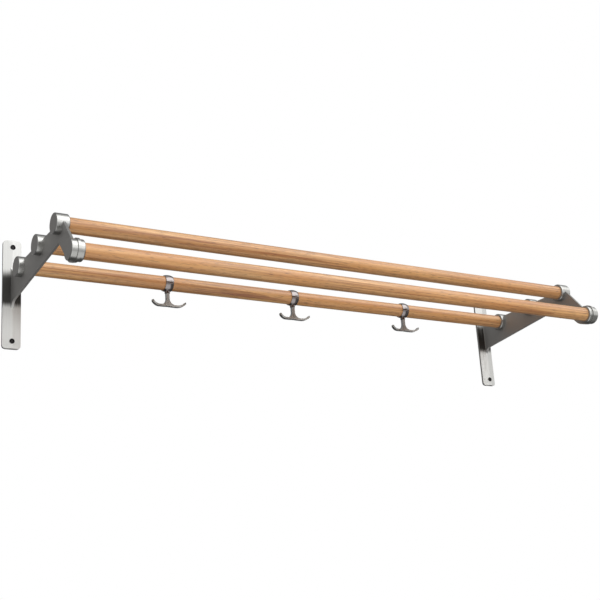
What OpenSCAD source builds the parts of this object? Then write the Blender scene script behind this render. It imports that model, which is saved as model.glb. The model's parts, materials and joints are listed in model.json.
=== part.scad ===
// Wall hat rack: two cast brackets carry four wooden rods, and three
// double hooks slide along the rear rod on rings.
// X runs along the rods, -Y points into the room and +Z is up.
// The origin is the middle of the four wall screw holes, on the wall.

/* [Rack] */
// Overall length over the closed ends of the rod cups
rack_len = 1003; // [800:1:1200]
// Diameter of each wooden rod
rod_d = 24; // [22:0.5:25]

/* [Rod places] */
// Hook rod, out from the wall
hook_rod_out = 58; // [54:1:64]
// Hook rod, above the middle of the wall strips
hook_rod_up = 28.5; // [26:0.5:32]
// Middle rod, out from the wall
middle_rod_out = 146; // [138:1:154]
// Middle rod, above the middle of the wall strips
middle_rod_up = 34.5; // [32:0.5:38]
// Top rod, out from the wall
top_rod_out = 229; // [222:1:236]
// Top rod, above the middle of the wall strips
top_rod_up = 38.5; // [36:0.5:43]
// Front rod, ahead of the top rod
front_rod_ahead = 60; // [55:1:67]
// Front rod, below the middle of the wall strips
front_rod_down = 21; // [17:0.5:24]

/* [Wall strips] */
// Height of each wall strip
strip_h = 180; // [160:1:220]
// Width of each wall strip
strip_w = 30; // [26:0.5:36]
// Thickness of a strip at its two long edges
strip_edge_t = 4; // [3:0.25:5]
// Thickness of a strip on its centre ridge
strip_ridge_t = 8; // [6.5:0.25:10]
// Radius of a strip's four corners
strip_corner_r = 6; // [3:0.5:9]
// Distance of a wall screw from the strip's end
screw_inset = 12; // [9:0.5:20]
// Diameter of a wall screw hole
screw_hole_d = 5; // [4:0.25:6]
// Diameter of the countersink on the ridge
screw_sink_d = 9; // [8:0.25:10]
// Depth of the countersink below the ridge
screw_sink_depth = 2.2; // [1.5:0.1:3]

/* [Arms] */
// Thickness of the arm plate
arm_t = 4; // [3:0.25:6]
// Height of the arm's top edge at its root, over the hook rod's axis
arm_over_hook = 8; // [5:0.5:10]
// Depth of the arm at its root, under the hook rod's axis
arm_under_hook = 43; // [38:1:48]
// Peak of the notch between top and front rod, under the top rod's axis
notch_under_top = 27; // [24:0.5:30]
// Peak of the notch, back from the top rod's axis
notch_back = 3.5; // [0:0.5:8]
// Radius of the notch's rounded peak
notch_r = 10; // [5:0.5:14]
// How far the plate's lobe round the front cup stands out past the cup
lobe_edge = 1.4; // [1:0.1:3]
// Length of the straight edge from that lobe back towards the notch
lobe_tail = 19; // [15:0.5:23]
// Radius between that straight edge and the notch
lobe_back_r = 24; // [10:1:28]
// Radius of the fillets from the arm's sides to the wall strip
root_side_r = 3; // [2:0.5:5]
// Radius of the fillet above the arm's root
root_top_r = 7; // [4:0.5:10]
// Radius of the fillet below the arm's root
root_low_r = 14; // [8:1:18]

/* [Rod cups] */
// Wall round the rod in a cup
cup_wall = 3.9; // [2.5:0.1:4.5]
// Thickness of a cup's closed end
cup_floor = 7.2; // [4:0.1:8]
// How far a cup stands out on the arm's outer side
cup_outer = 9.5; // [8:0.25:12]
// How far a cup stands out on the arm's inner side
cup_inner = 7.5; // [5:0.25:9]
// Radius of the edge at a cup's closed end
cup_end_r = 1.5; // [0.5:0.25:2.5]
// Radius of the edge at a cup's open end
cup_rim_r = 2.3; // [0.5:0.1:2.5]
// Clearance round a rod in its cup
rod_fit = 0.05; // [0.02:0.01:0.1]
// Gap between a rod's end and the cup's floor
rod_end_gap = 0.3; // [0.1:0.1:1]

/* [Hook rings] */
// Spacing between neighbouring hooks at rest
hook_pitch = 244; // [200:1:270]
// Width of a ring along the rod
ring_w = 14; // [10:0.5:18]
// Thickness of a ring at the middle of its width
ring_t = 2.3; // [1.8:0.1:3]
// Thickness of a ring at its two edges
ring_edge_t = 1.1; // [0.8:0.1:1.4]
// Clearance between a ring and the hook rod
ring_fit = 0.1; // [0.04:0.02:0.1]
// Diameter of the boss under a ring
boss_d = 9; // [8:0.25:11]
// Distance from the rod's axis to the boss's lower face
boss_drop = 17.2; // [16.8:0.1:19]

/* [Hook studs] */
// Diameter of the stud that a hook turns on
stud_d = 3; // [2.5:0.25:3.5]
// Diameter of the stud's head inside the ring
stud_head_d = 6; // [5:0.25:7]
// Thickness of the stud's head
stud_head_t = 1.2; // [0.8:0.1:1.4]
// Gap between the stud's head and the rod
stud_rod_gap = 0.6; // [0.4:0.1:0.8]
// Clearance round the stud in the ring's boss
stud_fit = 0.05; // [0.02:0.01:0.1]
// Depth of the stud in the hook's stem
stud_depth = 8; // [5:0.5:10]

/* [Double hooks] */
// Width of a hook's stem
stem_w = 5.4; // [5:0.2:8]
// Width of a hook's stem and arms, front to back
hook_w = 6; // [5.4:0.2:8]
// Thickness of a hook's arms
hook_t = 3.4; // [2.8:0.2:5]
// Inner radius from the stem into an arm
hook_root_r = 11; // [7:0.5:13]
// Distance from the stem's middle to an arm's lowest point
hook_low_out = 17.5; // [16:0.5:20]
// Inner radius of an arm's upturned end
hook_bend_r = 14.5; // [11:0.5:17]
// Turn of a hook's arm from its lowest point to its tip
hook_turn = 48; // [40:1:65]
// How far the two tips bend out towards the room
hook_lean = 5.5; // [0:0.5:8]
// Distance from the rod's axis to a hook's lowest point
hook_drop = 41; // [38:0.5:46]

/* [Hidden] */
$fn = 64;
// Steps in each rounded corner of an outline
arc_steps = 8;
// Overrun of a cut past the face that it opens
cut_over = 1;
// Running gap between a hook's stem and its ring
stem_gap = 0.3;
// Clearance of the stud in the stem's hole
stud_seat = 0.02;
// Gap under the stud's head
head_gap = 0.1;
// Chamfer round a rod's end
rod_chamfer = 1;
// Rise of the foot's underside between the two arms
hook_sag = 1;
// Radius where the top edge turns down into the fin
fin_r = 1.5;

rod_r = rod_d / 2;
cup_bore_r = rod_r + rod_fit;
cup_r = cup_bore_r + cup_wall;
cup_len = cup_outer + arm_t + cup_inner;
screw_up = strip_h / 2 - screw_inset;
arm_x = rack_len / 2 - cup_outer - arm_t / 2;
rod_end_x = rack_len / 2 - cup_floor - rod_end_gap;
ring_bore_r = rod_r + ring_fit;
ring_r = ring_bore_r + ring_t;
stud_top = rod_r + stud_rod_gap;
seat_r = stud_top + stud_head_t + head_gap;
stem_top = boss_drop + stem_gap;
// Each rod's place in the side view: out from the wall, then up
hook_seat = [hook_rod_out, hook_rod_up];
middle_seat = [middle_rod_out, middle_rod_up];
top_seat = [top_rod_out, top_rod_up];
front_seat = [top_rod_out + front_rod_ahead, -front_rod_down];
seats = [hook_seat, middle_seat, top_seat, front_seat];
// The arm's outline starts inside the wall strip, just under its ridge
root_in = strip_edge_t / 2;
root_face = strip_ridge_t - arm_t / strip_w * (strip_ridge_t - strip_edge_t);
// Fin over the front of the top cup, as shares of the cup's radius
fin_tip_share = [0.72, 0.26];
// Turn on the front cup's lobe where the fin comes down on it
fin_turn = 116;
// Turn on the lobe where its straight edge to the notch begins
tail_turn = -107;
// Rounded root corners take nearly all of their straight edges
root_share = 0.98;

function unit(v) = v / norm(v);

// Points of the arc of radius r that rounds the corner c between p and n
function corner_arc(p, c, n, r) =
    let (a = unit(p - c), b = unit(n - c), half = acos(a * b) / 2,
         mid = c + unit(a + b) * r / sin(half),
         from = c + a * r / tan(half) - mid, to = c + b * r / tan(half) - mid,
         start = atan2(from.y, from.x), turn = atan2(to.y, to.x) - start,
         sweep = turn > 180 ? turn - 360 : turn < -180 ? turn + 360 : turn)
    [for (i = [0:arc_steps]) mid + r * [cos(start + sweep * i / arc_steps), sin(start + sweep * i / arc_steps)]];

// Closed outline through corners [x, y, radius]; a radius of 0 stays sharp
function rounded(path) = let (n = len(path), at = [for (p = path) [p.x, p.y]])
    [for (i = [0:n - 1]) each path[i][2] > 0
        ? corner_arc(at[(i + n - 1) % n], at[i], at[(i + 1) % n], path[i][2]) : [at[i]]];

function corner(p, r = 0) = [p.x, p.y, r];

// Points of an arc about mid, from one angle to another
function arc(mid, r, from, to, steps) =
    [for (i = [0:steps]) mid + r * [cos(from + (to - from) * i / steps), sin(from + (to - from) * i / steps)]];

// Side view of the arm: distance out from the wall, then height
arm_top_root = hook_rod_up + arm_over_hook;
arm_low_root = hook_rod_up - arm_under_hook;
fin_tip = top_seat + cup_r * fin_tip_share;
lobe_r = cup_r + lobe_edge;
lobe = arc(front_seat, lobe_r, fin_turn, tail_turn, 3 * arc_steps);
lobe_back = lobe[len(lobe) - 1] + lobe_tail * [sin(tail_turn), -cos(tail_turn)];
notch = [top_rod_out - notch_back, top_rod_up - notch_under_top];
arm_outline = rounded([
    corner([root_in, arm_top_root + root_top_r]),
    corner([root_face, arm_top_root + root_top_r]),
    corner([root_face, arm_top_root], root_top_r * root_share),
    corner(fin_tip, fin_r),
    each [for (point = lobe) corner(point)],
    corner(lobe_back, lobe_back_r),
    corner(notch, notch_r),
    corner([root_face, arm_low_root], root_low_r * root_share),
    corner([root_face, arm_low_root - root_low_r]),
    corner([root_in, arm_low_root - root_low_r])]);

// Shape drawn in the side view, extruded along X about x = 0
module from_side(width) {
    rotate([90, 0, -90]) linear_extrude(width, center = true) children();
}

module wall_strip() {
    half_w = strip_w / 2;
    half_h = strip_h / 2;
    intersection() {
        linear_extrude(strip_h, center = true)
            polygon([[-half_w, 0], [half_w, 0], [half_w, -strip_edge_t], [0, -strip_ridge_t], [-half_w, -strip_edge_t]]);
        rotate([90, 0, 0]) translate([0, 0, -cut_over]) linear_extrude(strip_ridge_t + 2 * cut_over)
            polygon(rounded([for (p = [[-1, -1], [1, -1], [1, 1], [-1, 1]])
                corner([p.x * half_w, p.y * half_h], strip_corner_r)]));
    }
}

module arm_plate() {
    from_side(arm_t) polygon(arm_outline);
}

// Concave fillets from both sides of the arm to the strip's sloping faces
module root_fillets() {
    spread = arm_t / 2 + root_side_r + cup_end_r;
    drop = (strip_ridge_t - strip_edge_t) / strip_w * 2;
    side = arm_t / 2;
    reach = root_face + 2 * root_side_r;
    intersection() {
        translate([0, 0, arm_low_root - root_low_r])
            linear_extrude(arm_top_root - arm_low_root + root_top_r + root_low_r)
                polygon(rounded([
                    corner([side, -reach]), corner([side, -root_face], root_side_r),
                    corner([spread, drop * spread - strip_ridge_t]), corner([spread, -root_in]),
                    corner([-spread, -root_in]), corner([-spread, drop * spread - strip_ridge_t]),
                    corner([-side, -root_face], root_side_r), corner([-side, -reach])]));
        from_side(strip_w) polygon(arm_outline);
    }
}

module cup_shell() {
    rotate([0, 90, 0]) rotate_extrude()
        polygon(rounded([corner([0, 0]), corner([cup_r, 0], cup_rim_r),
                         corner([cup_r, cup_len], cup_end_r), corner([0, cup_len])]));
}

// The right bracket, about its arm's middle plane at x = 0
module bracket() {
    cup_start = -arm_t / 2 - cup_inner;
    difference() {
        union() {
            wall_strip();
            arm_plate();
            root_fillets();
            for (s = seats) translate([cup_start, -s.x, s.y]) cup_shell();
        }
        for (s = seats) translate([cup_start - cut_over, -s.x, s.y])
            rotate([0, 90, 0]) cylinder(h = cup_len - cup_floor + cut_over, r = cup_bore_r);
        for (side = [-1, 1]) translate([0, 0, side * screw_up]) rotate([90, 0, 0]) {
            translate([0, 0, -cut_over]) cylinder(h = strip_ridge_t + 2 * cut_over, d = screw_hole_d);
            translate([0, 0, strip_ridge_t - screw_sink_depth])
                cylinder(h = screw_sink_depth, d1 = screw_hole_d, d2 = screw_sink_d);
        }
    }
}

module left_bracket() {
    color("#d6d6d3") mirror([1, 0, 0]) translate([arm_x, 0, 0]) bracket();
}

module right_bracket() {
    color("#d6d6d3") translate([arm_x, 0, 0]) bracket();
}

module rod(seat) {
    color("#c9955f") translate([-rod_end_x, -seat.x, seat.y]) rotate([0, 90, 0]) rotate_extrude()
        polygon([[0, 0], [rod_r - rod_chamfer, 0], [rod_r, rod_chamfer],
                 [rod_r, 2 * rod_end_x - rod_chamfer], [rod_r - rod_chamfer, 2 * rod_end_x], [0, 2 * rod_end_x]]);
}

module hook_rod() {
    rod(hook_seat);
}

module middle_rod() {
    rod(middle_seat);
}

module top_rod() {
    rod(top_seat);
}

module front_rod() {
    rod(front_seat);
}

// Places a hook's piece on the hook rod; step counts hooks from the middle
module at_hook(step) {
    translate([step * hook_pitch, -hook_rod_out, hook_rod_up]) children();
}

// Domed band: its outer face is an arc over the ring's width
module ring_band() {
    rise = ring_t - ring_edge_t;
    dome_r = (pow(ring_w / 2, 2) + pow(rise, 2)) / (2 * rise);
    dome = asin(ring_w / 2 / dome_r);
    rotate([0, 90, 0]) rotate_extrude()
        polygon(concat([[0, -ring_w / 2]],
            [for (i = [-arc_steps:arc_steps]) [ring_r - dome_r + dome_r * cos(dome * i / arc_steps),
                                               dome_r * sin(dome * i / arc_steps)]],
            [[0, ring_w / 2]]));
}

module hook_ring(step) {
    color("#c8c8cc") at_hook(step) difference() {
        union() {
            ring_band();
            translate([0, 0, -boss_drop]) cylinder(h = boss_drop - rod_r, d = boss_d);
        }
        rotate([0, 90, 0]) cylinder(h = boss_d + ring_w, r = ring_bore_r, center = true);
        translate([0, 0, -boss_drop - cut_over]) cylinder(h = boss_drop, d = stud_d + 2 * stud_fit);
        translate([0, 0, -seat_r]) cylinder(h = seat_r, d = stud_head_d + 2 * stud_fit);
    }
}

module hook_ring_left() {
    hook_ring(-1);
}

module hook_ring_middle() {
    hook_ring(0);
}

module hook_ring_right() {
    hook_ring(1);
}

module hook_stud(step) {
    color("#a9a9a8") at_hook(step) {
        translate([0, 0, -stud_top - stud_head_t]) cylinder(h = stud_head_t, d = stud_head_d);
        translate([0, 0, -stem_top - stud_depth])
            cylinder(h = stem_top + stud_depth - stud_top - stud_head_t / 2, d = stud_d);
    }
}

module hook_stud_left() {
    hook_stud(-1);
}

module hook_stud_middle() {
    hook_stud(0);
}

module hook_stud_right() {
    hook_stud(1);
}

function mirrored(points) = [for (i = [len(points) - 1:-1:0]) [-points[i].x, points[i].y]];

// Front view of a double hook: right half, from the stem's top to the foot
hook_mid = [hook_low_out, hook_bend_r + hook_t - hook_drop];
hook_root = [stem_w / 2 + hook_root_r, hook_root_r + hook_t - hook_drop];
hook_tip = hook_mid + (hook_bend_r + hook_t / 2) * [sin(hook_turn), -cos(hook_turn)];
hook_half = concat(
    [[stem_w / 2, -stem_top]],
    arc(hook_root, hook_root_r, 180, 270, arc_steps),
    arc(hook_mid, hook_bend_r, 270, 270 + hook_turn, arc_steps),
    arc(hook_tip, hook_t / 2, 90 + hook_turn, -90 + hook_turn, arc_steps),
    arc(hook_mid, hook_bend_r + hook_t, 270 + hook_turn, 270, arc_steps));

// View of a double hook from above: the arms bend towards the room
hook_end = hook_tip.x + hook_t / 2 - hook_w / 2;
function hook_bow(x) = -hook_lean * pow(x / hook_end, 2);
end_turn = atan(2 * hook_lean / hook_end);
hook_plan = concat(
    [for (i = [-arc_steps:arc_steps]) let (x = hook_end * i / arc_steps) [x, hook_bow(x) - hook_w / 2]],
    arc([hook_end, hook_bow(hook_end)], hook_w / 2, -90 + end_turn / 2, 90 - end_turn, arc_steps),
    [for (i = [arc_steps - 1:-1:1 - arc_steps]) let (x = hook_end * i / arc_steps) [x, hook_bow(x) + hook_w / 2]],
    arc([-hook_end, hook_bow(hook_end)], hook_w / 2, 90 + end_turn, 270 - end_turn / 2, arc_steps));

module hook_casting() {
    casting_depth = hook_w + 2 * hook_lean + 2 * cut_over;
    intersection() {
        rotate([90, 0, 0]) linear_extrude(casting_depth, center = true)
            polygon(concat(hook_half, [[0, hook_sag - hook_drop]], mirrored(hook_half)));
        translate([0, 0, -hook_drop - cut_over]) linear_extrude(hook_drop) polygon(hook_plan);
    }
}

module double_hook(step) {
    color("#b9b9b6") at_hook(step) difference() {
        hook_casting();
        translate([0, 0, -stem_top - stud_depth - stud_rod_gap])
            cylinder(h = stud_depth + stud_rod_gap + cut_over, d = stud_d + 2 * stud_seat);
    }
}

module double_hook_left() {
    double_hook(-1);
}

module double_hook_middle() {
    double_hook(0);
}

module double_hook_right() {
    double_hook(1);
}

left_bracket();
right_bracket();
hook_rod();
middle_rod();
top_rod();
front_rod();
hook_ring_left();
hook_ring_middle();
hook_ring_right();
double_hook_left();
double_hook_middle();
double_hook_right();
hook_stud_left();
hook_stud_middle();
hook_stud_right();
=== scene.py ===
# Wall hat rack in a plain studio: oak rods in cast brackets, sliding double hooks on chrome rings.
import json
import math

import bpy
import bmesh
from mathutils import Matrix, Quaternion, Vector


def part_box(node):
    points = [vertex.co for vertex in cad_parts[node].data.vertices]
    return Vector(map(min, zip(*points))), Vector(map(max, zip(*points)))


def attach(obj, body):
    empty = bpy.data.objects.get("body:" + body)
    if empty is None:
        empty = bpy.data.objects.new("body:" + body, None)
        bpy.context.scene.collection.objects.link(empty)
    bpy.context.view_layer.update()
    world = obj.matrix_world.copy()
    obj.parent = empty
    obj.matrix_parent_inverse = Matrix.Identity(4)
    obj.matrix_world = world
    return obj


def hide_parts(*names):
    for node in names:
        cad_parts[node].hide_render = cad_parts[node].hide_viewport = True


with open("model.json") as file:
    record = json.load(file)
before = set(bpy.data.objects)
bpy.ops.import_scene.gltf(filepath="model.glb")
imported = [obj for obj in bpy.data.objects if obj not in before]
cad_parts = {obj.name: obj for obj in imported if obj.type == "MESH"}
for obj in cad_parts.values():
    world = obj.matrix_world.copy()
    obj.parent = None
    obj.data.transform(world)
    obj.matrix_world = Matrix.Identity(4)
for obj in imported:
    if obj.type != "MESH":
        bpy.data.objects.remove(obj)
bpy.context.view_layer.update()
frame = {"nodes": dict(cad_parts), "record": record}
mm = 0.001
print("frame loaded:", len(frame["nodes"]), "nodes")


def srgb(hexColour):
    values = [int(hexColour[i:i + 2], 16) / 255 for i in (0, 2, 4)]
    linear = [v / 12.92 if v <= 0.04045 else ((v + 0.055) / 1.055) ** 2.4 for v in values]
    return (*linear, 1.0)


def addNode(tree, kind, settings=None, inputs=None):
    node = tree.nodes.new("ShaderNode" + kind)
    for name, value in (settings or {}).items():
        setattr(node, name, value)
    for socket, value in (inputs or {}).items():
        if isinstance(value, bpy.types.NodeSocket):
            tree.links.new(value, node.inputs[socket])
        else:
            node.inputs[socket].default_value = value
    return node


def newMaterial(name):
    material = bpy.data.materials.new(name)
    material.use_nodes = True
    tree = material.node_tree
    surface = tree.nodes["Principled BSDF"]
    place = addNode(tree, "TexCoord").outputs["Object"]
    return material, tree, surface, place


streakShare = 0.6  # share of a noise cell that reads as one streak, pore or grain


def stretched(tree, place, stretch):
    return addNode(tree, "VectorMath", {"operation": "MULTIPLY"}, {0: place, 1: stretch}).outputs[0]


def noise(tree, place, scale, detail, roughness=0.5):
    return addNode(tree, "TexNoise", inputs={"Vector": place, "Scale": scale, "Detail": detail,
                                             "Roughness": roughness})


def mapped(tree, value, start, end, low=0.0, high=1.0, interpolation="LINEAR"):
    return addNode(tree, "MapRange", {"interpolation_type": interpolation},
                   {0: value, 1: start, 2: end, 3: low, 4: high}).outputs[0]


def mixed(tree, share, first, second, blend="MIX"):
    return addNode(tree, "Mix", {"data_type": "RGBA", "blend_type": blend},
                   {0: share, 6: first, 7: second}).outputs[2]


# Turned oak with a clear matt lacquer: long brown grain, short dark pores, soft sheen
oak = {
    "lightWood": "eab97a", "midWood": "cf8e4b", "darkWood": "88491d", "poreWood": "5a3520",
    "ringSpacing": 4.6 * mm, "ringStretch": 0.022, "ringRate": 0.18, "ringWander": 3,
    "wanderRate": 0.25, "ringContrast": (0.15, 0.95), "ringShare": 0.35,
    "fibreWidth": 1.8 * mm, "fibreStretch": 0.012, "fibreRoughness": 0.65,
    "fibreGain": 2.4, "fibreOffset": -0.85,
    "poreWidth": 0.5 * mm, "poreLength": 9 * mm, "poreContrast": (0.60, 0.70), "poreShare": 0.65,
    "poreDepth": 0.12 * mm, "reliefStrength": 0.6,
    "patchLength": 120 * mm, "patchContrast": (0.35, 0.75), "patchShare": (0.1, 0.6),
    "roughness": 0.5, "smoother": 0.06, "rougher": 0.08,
    "lacquer": 0.7, "lacquerRoughness": 0.33, "fibreSheen": 0.15, "sheenRoughness": 0.4,
}


def oakMaterial():
    material, tree, surface, place = newMaterial("lacqueredOak")
    # Year rings, drawn out along the rod and wandering across it
    along = stretched(tree, place, (oak["ringStretch"], 1, 1))
    wander = noise(tree, along, oak["wanderRate"] / oak["ringSpacing"], 2)
    drift = oak["ringWander"] * oak["ringSpacing"]
    shift = addNode(tree, "VectorMath", {"operation": "MULTIPLY_ADD"},
                    {0: wander.outputs["Color"], 1: (0, drift, drift), 2: along})
    rings = addNode(tree, "TexWave",
                    {"wave_type": "BANDS", "bands_direction": "DIAGONAL", "wave_profile": "SAW"},
                    {"Vector": shift.outputs[0], "Scale": oak["ringRate"] / oak["ringSpacing"],
                     "Distortion": 1.5, "Detail": 2, "Detail Scale": 1.5})
    grain = mapped(tree, rings.outputs["Fac"], *oak["ringContrast"])
    # Fibres and pores
    fibrePlace = stretched(tree, place, (oak["fibreStretch"], 1, 1))
    fibre = noise(tree, fibrePlace, streakShare / oak["fibreWidth"], 4, oak["fibreRoughness"])
    porePlace = stretched(tree, place, (oak["poreWidth"] / oak["poreLength"], 1, 1))
    poreNoise = noise(tree, porePlace, streakShare / oak["poreWidth"], 1)
    pores = mapped(tree, poreNoise.outputs["Fac"], *oak["poreContrast"])
    fibreTone = addNode(tree, "Math", {"operation": "MULTIPLY_ADD"},
                        {0: fibre.outputs["Fac"], 1: oak["fibreGain"], 2: oak["fibreOffset"]})
    darkness = addNode(tree, "Math", {"operation": "MULTIPLY_ADD", "use_clamp": True},
                       {0: grain, 1: oak["ringShare"], 2: fibreTone.outputs[0]}).outputs[0]
    body = mixed(tree, darkness, srgb(oak["lightWood"]), srgb(oak["darkWood"]))
    # Plainer patches along the rod
    patch = noise(tree, place, 1 / oak["patchLength"], 1)
    plain = mapped(tree, patch.outputs["Fac"], *oak["patchContrast"], *oak["patchShare"])
    toned = mixed(tree, plain, body, srgb(oak["midWood"]))
    poreTone = addNode(tree, "Math", {"operation": "MULTIPLY"}, {0: pores, 1: oak["poreShare"]})
    colour = mixed(tree, poreTone.outputs[0], toned, srgb(oak["poreWood"]))
    gloss = mapped(tree, fibre.outputs["Fac"], 0, 1, oak["roughness"] - oak["smoother"],
                   oak["roughness"] + oak["rougher"])
    relief = addNode(tree, "Math", {"operation": "MULTIPLY_ADD"}, {0: pores, 1: -1, 2: darkness})
    bump = addNode(tree, "Bump", inputs={"Height": relief.outputs[0], "Distance": oak["poreDepth"],
                                         "Strength": oak["reliefStrength"]})
    tree.links.new(colour, surface.inputs["Base Color"])
    tree.links.new(gloss, surface.inputs["Roughness"])
    tree.links.new(bump.outputs[0], surface.inputs["Normal"])
    surface.inputs["Sheen Weight"].default_value = oak["fibreSheen"]
    surface.inputs["Sheen Roughness"].default_value = oak["sheenRoughness"]
    surface.inputs["Coat Weight"].default_value = oak["lacquer"]
    surface.inputs["Coat Roughness"].default_value = oak["lacquerRoughness"]
    return material


# Cast aluminium, ground and satin finished: soft wide reflections with a faint brushed streak
aluminium = {
    "colour": "b6b6b3", "roughness": 0.28, "smoother": 0.05, "rougher": 0.07, "acrossBrush": 0.6,
    "streakWidth": 0.8 * mm, "streakLength": 60 * mm, "streakDepth": 0.004 * mm,
    "streakContrast": (0.3, 0.7), "streakTone": 0.9, "grit": 0.35 * mm, "gritDepth": 0.01 * mm,
}


def aluminiumMaterial(name, values):
    material, tree, surface, place = newMaterial(name)
    streakPlace = stretched(tree, place, (1, 1, values["streakWidth"] / values["streakLength"]))
    streakNoise = noise(tree, streakPlace, streakShare / values["streakWidth"], 3)
    streak = streakNoise.outputs["Fac"]
    grit = noise(tree, place, streakShare / values["grit"], 2)
    tone = mapped(tree, streak, *values["streakContrast"], values["streakTone"], 1.0)
    paint = mixed(tree, 1.0, srgb(values["colour"]), tone, "MULTIPLY")
    gloss = mapped(tree, streak, 0, 1, values["roughness"] - values["smoother"],
                   values["roughness"] + values["rougher"])
    gritBump = addNode(tree, "Bump", inputs={"Height": grit.outputs["Fac"],
                                             "Distance": values["gritDepth"]})
    bump = addNode(tree, "Bump", inputs={"Height": streak, "Distance": values["streakDepth"],
                                         "Normal": gritBump.outputs[0]})
    brushAxis = addNode(tree, "CombineXYZ", inputs={"X": 1.0})
    if "paintedRootShade" in values:
        # A ragged band of height painted in a darker, duller colour and gloss: painted shade for
        # the arm's shadow and reflection on the strip
        band = values["paintedRootShade"]
        height = addNode(tree, "SeparateXYZ", inputs={0: place}).outputs["Z"]
        ragged = addNode(tree, "Math", {"operation": "MULTIPLY_ADD"},
                         {0: streak, 1: band["ragged"], 2: height}).outputs[0]
        under = mapped(tree, ragged, band["top"], band["topFull"], interpolation="SMOOTHSTEP")
        over = mapped(tree, ragged, band["bottom"], band["bottomFull"], interpolation="SMOOTHSTEP")
        inBand = addNode(tree, "Math", {"operation": "MULTIPLY"}, {0: under, 1: over}).outputs[0]
        paint = mixed(tree, inBand, paint, srgb(band["colour"]))
        gloss = addNode(tree, "Mix", {"data_type": "FLOAT"},
                        {0: inBand, 2: gloss, 3: band["roughness"]}).outputs[0]
    surface.inputs["Metallic"].default_value = 1.0
    surface.inputs["Anisotropic"].default_value = values["acrossBrush"]
    tree.links.new(brushAxis.outputs[0], surface.inputs["Tangent"])
    tree.links.new(paint, surface.inputs["Base Color"])
    tree.links.new(gloss, surface.inputs["Roughness"])
    tree.links.new(bump.outputs[0], surface.inputs["Normal"])
    return material


# Plain metal with one fine texture in its surface: chrome's polishing waves, steel's grit
def plainMetalMaterial(name, values):
    material, tree, surface, place = newMaterial(name)
    texture = noise(tree, place, values["textureScale"], values["textureDetail"])
    bump = addNode(tree, "Bump", inputs={"Height": texture.outputs["Fac"],
                                         "Distance": values["textureDepth"]})
    surface.inputs["Base Color"].default_value = srgb(values["colour"])
    surface.inputs["Metallic"].default_value = 1.0
    surface.inputs["Roughness"].default_value = values["roughness"]
    tree.links.new(bump.outputs[0], surface.inputs["Normal"])
    return material


oakWood = oakMaterial()
satinAluminium = aluminiumMaterial("satinCastAluminium", aluminium)

# The castings' flat sides stay as blasted: duller and rougher than the ground faces
sideFinish = dict(aluminium, colour="bebcb9", roughness=0.6, acrossBrush=0, grit=0.5 * mm,
                  gritDepth=0.03 * mm)
blastedAluminium = aluminiumMaterial("blastedCastAluminium", sideFinish)

# The wall strips are linished along their length; beside the arm's root a dark band is painted on
# them as painted shade for the arm's shadow and reflection
shadeBesideRoot = {"top": 48 * mm, "topFull": 30 * mm, "bottom": -19 * mm, "bottomFull": -8 * mm,
              "ragged": 10 * mm, "colour": "4f4e4c", "roughness": 0.5}
stripFinish = dict(aluminium, colour="dadad7", roughness=0.4, acrossBrush=0.9,
                   streakWidth=0.5 * mm, streakLength=90 * mm, paintedRootShade=shadeBesideRoot)
linishedAluminium = aluminiumMaterial("linishedCastAluminium", stripFinish)

# Tumbled hook castings: evenly soft, with short streaks
hookMetal = dict(aluminium, colour="c3c4c2", roughness=0.24, acrossBrush=0, streakLength=6 * mm)
satinHook = aluminiumMaterial("tumbledHookMetal", hookMetal)

# Polished dark chrome plate: hard mirror bands, with the faintest waves left by the mop
chrome = {"colour": "8f8988", "roughness": 0.07, "textureScale": 1 / (4 * mm), "textureDetail": 1,
          "textureDepth": 0.02 * mm}
polishedChrome = plainMetalMaterial("polishedChrome", chrome)

# Blackened steel of screws and studs: dark, with a dull gloss
blackSteel = {"colour": "2c2b2b", "roughness": 0.42, "textureScale": streakShare / (0.5 * mm),
              "textureDetail": 2, "textureDepth": 0.01 * mm}
blackenedSteel = plainMetalMaterial("blackenedSteel", blackSteel)
print("materials made")


def addObject(name, data):
    thing = bpy.data.objects.new(name, data)
    bpy.context.scene.collection.objects.link(thing)
    return thing


def meshFrom(bm, name):
    mesh = bpy.data.meshes.new(name)
    bm.to_mesh(mesh)
    bm.free()
    return mesh


smoothAngle = math.radians(30)


def addPiece(bm, name, finishes, body, replaced=()):
    mesh = meshFrom(bm, name)
    mesh.polygons.foreach_set("use_smooth", [True] * len(mesh.polygons))
    mesh.set_sharp_from_angle(angle=smoothAngle)
    for finish in finishes:
        mesh.materials.append(finish)
    piece = addObject(name, mesh)
    # Large faces keep their own normals, so that only the eased edges round off the shading
    shading = piece.modifiers.new("faceWeightedShading", "WEIGHTED_NORMAL")
    shading.keep_sharp = True
    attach(piece, body)
    if replaced:
        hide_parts(*replaced)


easing = {"weldDistance": 0.002 * mm, "flatAngle": math.radians(0.3)}


def softenedCopy(node, radius, segments=2, sharpAngle=32):
    bm = bmesh.new()
    bm.from_mesh(frame["nodes"][node].data)
    bmesh.ops.remove_doubles(bm, verts=bm.verts, dist=easing["weldDistance"])
    bmesh.ops.dissolve_limit(bm, angle_limit=easing["flatAngle"], verts=bm.verts, edges=bm.edges,
                             use_dissolve_boundaries=False)
    sharp = [e for e in bm.edges
             if e.is_manifold and e.calc_face_angle() > math.radians(sharpAngle)]
    bmesh.ops.bevel(bm, geom=sharp, offset=radius, offset_type="OFFSET", segments=segments,
                    profile=0.5, affect="EDGES", material=-1, clamp_overlap=True)
    return bm


# Brackets: the castings with their edges eased by the grinding
bracket = {"edgeRadius": 0.5 * mm, "stripDepth": 8.1 * mm, "armMiddle": 490 * mm,
           "armHalf": 2.1 * mm, "lobeReach": 19 * mm, "sideFacing": 0.97, "underFacing": 0.2,
           "frontFacing": 0.5}
bracketMetals = [satinAluminium, blastedAluminium, linishedAluminium]
satin, blasted, linished = range(3)
frontCup = sum(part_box("front_rod"), Vector()) / 2


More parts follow.
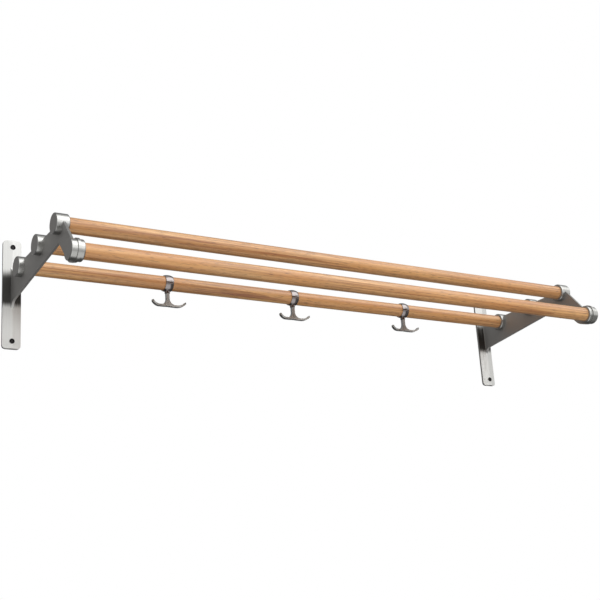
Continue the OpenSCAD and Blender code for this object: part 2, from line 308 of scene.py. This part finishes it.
def bracketMetal(face):
    if all(v.co.y > -bracket["stripDepth"] for v in face.verts):
        return linished if face.normal.y < -bracket["frontFacing"] else blasted
    onArm = all(abs(abs(v.co.x) - bracket["armMiddle"]) < bracket["armHalf"] for v in face.verts)
    onLobe = (face.calc_center_median() - frontCup).yz.length < bracket["lobeReach"]
    underArm = onArm and not onLobe and face.normal.z < bracket["underFacing"]
    return blasted if underArm or abs(face.normal.x) > bracket["sideFacing"] else satin


for side in ("left", "right"):
    bm = softenedCopy(side + "_bracket", bracket["edgeRadius"])
    bm.normal_update()
    for face in bm.faces:
        face.material_index = bracketMetal(face)
    addPiece(bm, side + "Bracket", bracketMetals, "root", [side + "_bracket"])
print("brackets dressed")

# Rods: smooth turned dowels, their ends hidden in the cups
rod = {"turns": 96, "endEase": 1 * mm, "rimAngle": 1}
alongRod = Vector((0, 0, 1)).rotation_difference(Vector((1, 0, 0))).to_matrix()
for rodName in ("hook_rod", "middle_rod", "top_rod", "front_rod"):
    low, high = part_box(rodName)
    radius = (high.z - low.z) / 2
    bm = bmesh.new()
    bmesh.ops.create_cone(bm, cap_ends=True, segments=rod["turns"], radius1=radius,
                          radius2=radius, depth=high.x - low.x)
    rims = [e for e in bm.edges if e.calc_face_angle(0) > rod["rimAngle"]]
    bmesh.ops.bevel(bm, geom=rims, offset=rod["endEase"], segments=2, profile=0.5,
                    affect="EDGES", material=-1)
    bmesh.ops.rotate(bm, verts=bm.verts, matrix=alongRod)
    bmesh.ops.translate(bm, verts=bm.verts, vec=(low + high) / 2)
    addPiece(bm, rodName.split("_")[0] + "OakRod", [oakWood], "root", [rodName])
print("rods turned")

# Rings and hooks with eased edges; the studs are the CAD model's own
hook = {"ringEdge": 0.3 * mm, "hookEdge": 0.8 * mm, "hookSegments": 3, "hookSharpAngle": 40}
for side in ("left", "middle", "right"):
    bm = softenedCopy("hook_ring_" + side, hook["ringEdge"])
    addPiece(bm, side + "Ring", [polishedChrome], "ring_" + side,
             ["hook_ring_" + side])
    bm = softenedCopy("double_hook_" + side, hook["hookEdge"], hook["hookSegments"],
                      hook["hookSharpAngle"])
    addPiece(bm, side + "DoubleHook", [satinHook], "hook_" + side,
             ["double_hook_" + side])
    stud = frame["nodes"]["hook_stud_" + side]
    stud.data.materials.clear()
    stud.data.materials.append(blackenedSteel)
print("hooks dressed")

# Wall screws: countersunk heads with a round socket, seated in the strips
wallScrew = {"headRadius": 4.2 * mm, "shankRadius": 2.2 * mm, "headDepth": 2.0 * mm,
             "ridgeHeight": 8 * mm, "below": 0.25 * mm, "socketRadius": 2.4 * mm,
             "socketDepth": 1.2 * mm, "turns": 48}
pattern = next(m for m in frame["record"]["mounts"] if m["name"] == "wall_screws")["dims"]
outOfWall = Vector((0, 0, 1)).rotation_difference(Vector((0, -1, 0))).to_matrix()


def extruded(bm, faces, height):
    made = bmesh.ops.extrude_face_region(bm, geom=faces)["geom"]
    corners = [v for v in made if isinstance(v, bmesh.types.BMVert)]
    bmesh.ops.translate(bm, verts=corners, vec=(0, 0, height))
    return [f for f in made if isinstance(f, bmesh.types.BMFace)], corners


def addWallScrew(name, x, z):
    bm = bmesh.new()
    bmesh.ops.create_circle(bm, cap_ends=True, segments=wallScrew["turns"],
                            radius=wallScrew["shankRadius"])
    shank = wallScrew["ridgeHeight"] - wallScrew["below"] - wallScrew["headDepth"]
    cap, rim = extruded(bm, bm.faces[:], shank)
    cap, rim = extruded(bm, cap, wallScrew["headDepth"])
    grow = wallScrew["headRadius"] / wallScrew["shankRadius"]
    bmesh.ops.scale(bm, verts=rim, vec=(grow, grow, 1))
    bmesh.ops.inset_region(bm, faces=cap,
                           thickness=wallScrew["headRadius"] - wallScrew["socketRadius"])
    bmesh.ops.translate(bm, verts=list({v for f in cap for v in f.verts}),
                        vec=(0, 0, -wallScrew["socketDepth"]))
    bmesh.ops.recalc_face_normals(bm, faces=bm.faces)
    bmesh.ops.rotate(bm, verts=bm.verts, matrix=outOfWall)
    bmesh.ops.translate(bm, verts=bm.verts, vec=(x, 0, z))
    addPiece(bm, name, [blackenedSteel], "root")


for side, sign in (("left", -1), ("right", 1)):
    for level, step in (("Upper", 1), ("Lower", -1)):
        addWallScrew(side + level + "WallScrew", sign * pattern["spacing_x_mm"] / 2 * mm,
                     step * pattern["spacing_y_mm"] / 2 * mm)
print("wall screws set")

# Pale floor far below, seen by the camera alone: no light bounces off it
studio = {"floorHeight": -3.2, "floorSize": 60.0, "floorColour": "f7f6f4", "floorRoughness": 0.8}
bm = bmesh.new()
bmesh.ops.create_grid(bm, x_segments=1, y_segments=1, size=studio["floorSize"] / 2)
bmesh.ops.translate(bm, verts=bm.verts, vec=(0, 0, studio["floorHeight"]))
floorMaterial, _, floorSurface, _ = newMaterial("paleFloor")
floorSurface.inputs["Base Color"].default_value = srgb(studio["floorColour"])
floorSurface.inputs["Roughness"].default_value = studio["floorRoughness"]
studioFloor = addObject("studioFloor", meshFrom(bm, "studioFloor"))
studioFloor.data.materials.append(floorMaterial)
studioFloor.visible_glossy = False
studioFloor.visible_diffuse = False

# Light of the room: white where the camera looks past the rack. What it sheds on the rack comes
# from the front and above, fades towards the back, the floor and both sides, and has a weak glow
# from below. Each "from" or "past" pair is where a fade starts and ends along an axis.
room = {
    "white": 1.0, "front": 1.15, "back": 0.27, "backLow": 0.1, "horizon": 0.8,
    "horizonRight": 0.1, "floor": 0.3, "floorRight": 0.0, "right": 0.1, "left": 0.12,
    "fromFloor": (-0.38, -0.6), "pastRight": (0.36, 0.62), "fromAbove": (-0.25, 0.0),
    "fromFront": (0.35, -0.2), "farRight": (0.9, 0.95), "farLeft": (-0.3, -0.75),
    "backRise": (-0.3, 0.1),
}
world = bpy.data.worlds.new("studioLight")
bpy.context.scene.world = world
world.use_nodes = True
tree = world.node_tree
background = tree.nodes["Background"]
direction = addNode(tree, "TexCoord").outputs["Generated"]
axes = addNode(tree, "SeparateXYZ", inputs={0: direction})


def fade(axis, limits, low, high):
    return mapped(tree, axes.outputs[axis], *limits, low, high, "SMOOTHSTEP")


def combined(operation, first, second):
    return addNode(tree, "Math", {"operation": operation}, {0: first, 1: second}).outputs[0]


floorGlow = fade("Z", room["fromFloor"], 0, fade("X", room["pastRight"], room["floor"],
                                                 room["floorRight"]))
horizon = fade("X", room["pastRight"], room["horizon"], room["horizonRight"])
height = combined("ADD", fade("Z", room["fromAbove"], horizon, 1.0), floorGlow)
depth = fade("Y", room["fromFront"], 0, room["front"] - room["back"])
width = combined("MULTIPLY", fade("X", room["farRight"], 1, room["right"]),
                 fade("X", room["farLeft"], 1, room["left"]))
frontLight = combined("MULTIPLY", combined("MULTIPLY", depth, height), width)
backLight = fade("Z", room["backRise"], room["backLow"], room["back"])
lookedAt = addNode(tree, "LightPath").outputs["Is Camera Ray"]
strength = addNode(tree, "Mix", {"data_type": "FLOAT"},
                   {0: lookedAt, 2: combined("ADD", frontLight, backLight), 3: room["white"]})
tree.links.new(strength.outputs[0], background.inputs["Strength"])
background.inputs["Color"].default_value = (1, 1, 1, 1)

# Soft boxes above and in front, and a weak one below in place of the floor's bounce
lamps = {
    "overheadSoftbox": {"at": (0.7, -1.5, 1.9), "to": (0.1, -0.1, 0), "size": (3.2, 1.8),
                        "power": 29},
    "frontSoftbox": {"at": (0.2, -3.0, 0.9), "to": (0.1, 0, 0), "size": (2.2, 1.4), "power": 8},
    "floorBounce": {"at": (-0.15, -1.45, -1.6), "to": (-0.15, -1.45, 0), "size": (2.1, 2.3),
                    "power": 2},
}
for lampName, lamp in lamps.items():
    data = bpy.data.lights.new(lampName, "AREA")
    data.shape = "RECTANGLE"
    data.size, data.size_y = lamp["size"]
    data.energy = lamp["power"]
    softbox = addObject(lampName, data)
    aim = Vector(lamp["to"]) - Vector(lamp["at"])
    softbox.location = lamp["at"]
    softbox.rotation_euler = aim.to_track_quat("-Z", "Y").to_euler()

# Camera below and to the left of the rack, at the photograph's angle
view = {"at": (-1.0075, -1.6682, -0.5497), "yaw": 0.5666, "pitch": 0.2933, "roll": -0.06745,
        "lens": 66.736, "sensor": 36}
cameraData = bpy.data.cameras.new("studioCamera")
cameraData.lens = view["lens"]
cameraData.sensor_width = view["sensor"]
camera = addObject("studioCamera", cameraData)
forward = Vector((math.sin(view["yaw"]) * math.cos(view["pitch"]),
                  math.cos(view["yaw"]) * math.cos(view["pitch"]), math.sin(view["pitch"])))
level = forward.to_track_quat("-Z", "Y")
camera.location = view["at"]
camera.rotation_mode = "QUATERNION"
camera.rotation_quaternion = level @ Quaternion((0, 0, 1), view["roll"])
bpy.context.scene.camera = camera
bpy.context.scene.view_settings.view_transform = "Standard"
print("studio ready")
